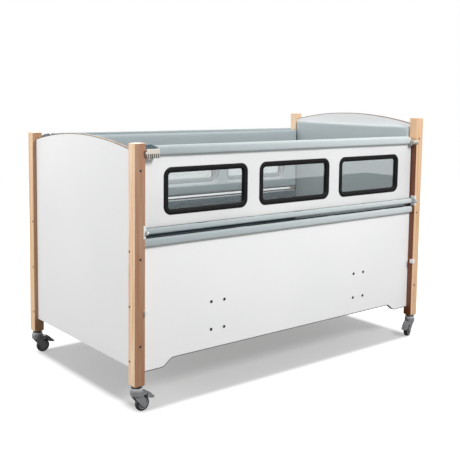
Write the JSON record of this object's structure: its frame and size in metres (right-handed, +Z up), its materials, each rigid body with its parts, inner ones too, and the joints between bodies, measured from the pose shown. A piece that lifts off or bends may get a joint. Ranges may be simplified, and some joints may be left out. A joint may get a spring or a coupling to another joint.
{
  "type": "special needs safety bed",
  "caption": "Enclosed care bed of beech posts and white boards, with windowed fold-down sides, padded lining, mattress on slats and braked swivel casters.",
  "frame": {"origin": "middle of the bed on the floor", "axes": "+X along the bed towards the head end, +Y across it towards the back side, +Z up"},
  "size_m": [2.124, 1.202, 1.4138],
  "materials": {
    "beech": "clear lacquered beech",
    "slat_beech": "sanded beech",
    "laminate": "white melamine laminate on board, fine texture",
    "rubber_seal": "extruded black rubber",
    "acrylic": "clear acrylic sheet",
    "lining_cloth": "grey-blue coated upholstery cloth over foam",
    "mattress_cloth": "grey-blue coated mattress cloth",
    "frame_steel": "light grey powder coat",
    "black_screw": "black oxide",
    "white_fitting": "white powder coat",
    "arm_steel": "satin steel",
    "lock_case": "warm grey cast metal",
    "lock_bolt": "turned steel",
    "buffer_rubber": "white soft plastic",
    "collar_black": "black moulded nylon",
    "ring_white": "white moulded nylon",
    "caster_grey": "mid-grey moulded nylon",
    "tyre": "dark grey rubber"
  },
  "bodies": {
    "frame": {"post_foot_front": "beech", "post_foot_back": "beech", "post_head_front": "beech", "post_head_back": "beech", "footboard": "laminate", "headboard": "laminate", "lower_panel_front": "laminate", "lower_panel_back": "laminate", "low_cover_front": "lining_cloth", "low_cover_back": "lining_cloth", "lower_pad_front": "lining_cloth", "lower_pad_back": "lining_cloth", "foot_pad": "lining_cloth", "head_pad": "lining_cloth", "mattress": "mattress_cloth", "base_frame": "frame_steel", "slats": "slat_beech", "support_brackets": "frame_steel", "panel_screws": "black_screw", "post_screws": "black_screw", "hinge_plates": "white_fitting", "buffers": "buffer_rubber", "caster_collars": "collar_black", "caster_rings": "ring_white"},
    "flap_front": {"flap_panel_front": "laminate", "window_seals_front": "rubber_seal", "window_panes_front": "acrylic", "flap_pad_front": "lining_cloth", "top_cover_front": "lining_cloth", "mid_cover_front": "lining_cloth", "hinge_arms_front": "arm_steel", "lock_cases_front": "lock_case"},
    "flap_back": {"flap_panel_back": "laminate", "window_seals_back": "rubber_seal", "window_panes_back": "acrylic", "flap_pad_back": "lining_cloth", "top_cover_back": "lining_cloth", "mid_cover_back": "lining_cloth", "hinge_arms_back": "arm_steel", "lock_cases_back": "lock_case"},
    "bolt_foot_front": {"lock_bolt_foot_front": "lock_bolt"},
    "caster_foot_front": {"fork_foot_front": "caster_grey"},
    "wheel_foot_front": {"hub_foot_front": "caster_grey", "tyre_foot_front": "tyre"},
    "brake_foot_front": {"pedal_foot_front": "caster_grey"},
    "bolt_foot_back": {"lock_bolt_foot_back": "lock_bolt"},
    "caster_foot_back": {"fork_foot_back": "caster_grey"},
    "wheel_foot_back": {"hub_foot_back": "caster_grey", "tyre_foot_back": "tyre"},
    "brake_foot_back": {"pedal_foot_back": "caster_grey"},
    "bolt_head_front": {"lock_bolt_head_front": "lock_bolt"},
    "caster_head_front": {"fork_head_front": "caster_grey"},
    "wheel_head_front": {"hub_head_front": "caster_grey", "tyre_head_front": "tyre"},
    "brake_head_front": {"pedal_head_front": "caster_grey"},
    "bolt_head_back": {"lock_bolt_head_back": "lock_bolt"},
    "caster_head_back": {"fork_head_back": "caster_grey"},
    "wheel_head_back": {"hub_head_back": "caster_grey", "tyre_head_back": "tyre"},
    "brake_head_back": {"pedal_head_back": "caster_grey"}
  },
  "joints": [
    {"name": "fold_front", "type": "hinge", "parent": "frame", "child": "flap_front", "pos_m": [0, -0.592, 0.876], "axis": [1, 0, 0], "range_deg": [0, 180]},
    {"name": "fold_back", "type": "hinge", "parent": "frame", "child": "flap_back", "pos_m": [0, 0.592, 0.876], "axis": [-1, 0, 0], "range_deg": [0, 180]},
    {"name": "lock_foot_front", "type": "slide", "parent": "flap_front", "child": "bolt_foot_front", "axis": [-1, 0, 0], "range_m": [0, 0.018]},
    {"name": "swivel_foot_front", "type": "hinge", "parent": "frame", "child": "caster_foot_front", "pos_m": [-1.031, -0.551, 0.108], "axis": [0, 0, 1], "continuous": true},
    {"name": "roll_foot_front", "type": "hinge", "parent": "caster_foot_front", "child": "wheel_foot_front", "pos_m": [-0.99818, -0.54755, 0.038], "axis": [-0.1045, 0.9945, 0], "continuous": true},
    {"name": "brake_foot_front", "type": "hinge", "parent": "caster_foot_front", "child": "brake_foot_front", "pos_m": [-0.98724, -0.5464, 0.09], "axis": [-0.1045, 0.9945, 0], "range_deg": [0, 10]},
    {"name": "lock_foot_back", "type": "slide", "parent": "flap_back", "child": "bolt_foot_back", "axis": [-1, 0, 0], "range_m": [0, 0.018]},
    {"name": "swivel_foot_back", "type": "hinge", "parent": "frame", "child": "caster_foot_back", "pos_m": [-1.031, 0.551, 0.108], "axis": [0, 0, 1], "continuous": true},
    {"name": "roll_foot_back", "type": "hinge", "parent": "caster_foot_back", "child": "wheel_foot_back", "pos_m": [-0.99804, 0.54927, 0.038], "axis": [0.0523, 0.9986, 0], "continuous": true},
    {"name": "brake_foot_back", "type": "hinge", "parent": "caster_foot_back", "child": "brake_foot_back", "pos_m": [-0.98706, 0.5487, 0.09], "axis": [0.0523, 0.9986, 0], "range_deg": [0, 10]},
    {"name": "lock_head_front", "type": "slide", "parent": "flap_front", "child": "bolt_head_front", "axis": [1, 0, 0], "range_m": [0, 0.018]},
    {"name": "swivel_head_front", "type": "hinge", "parent": "frame", "child": "caster_head_front", "pos_m": [1.031, -0.551, 0.108], "axis": [0, 0, 1], "continuous": true},
    {"name": "roll_head_front", "type": "hinge", "parent": "caster_head_front", "child": "wheel_head_front", "pos_m": [0.99944, -0.56065, 0.038], "axis": [0.2924, -0.9563, 0], "continuous": true},
    {"name": "brake_head_front", "type": "hinge", "parent": "caster_head_front", "child": "brake_head_front", "pos_m": [0.98892, -0.56386, 0.09], "axis": [0.2924, -0.9563, 0], "range_deg": [0, 10]},
    {"name": "lock_head_back", "type": "slide", "parent": "flap_back", "child": "bolt_head_back", "axis": [1, 0, 0], "range_m": [0, 0.018]},
    {"name": "swivel_head_back", "type": "hinge", "parent": "frame", "child": "caster_head_back", "pos_m": [1.031, 0.551, 0.108], "axis": [0, 0, 1], "continuous": true},
    {"name": "roll_head_back", "type": "hinge", "parent": "caster_head_back", "child": "wheel_head_back", "pos_m": [0.99832, 0.55559, 0.038], "axis": [-0.1392, -0.9903, 0], "continuous": true},
    {"name": "brake_head_back", "type": "hinge", "parent": "caster_head_back", "child": "brake_head_back", "pos_m": [0.98743, 0.55712, 0.09], "axis": [-0.1392, -0.9903, 0], "range_deg": [0, 10]}
  ]
}
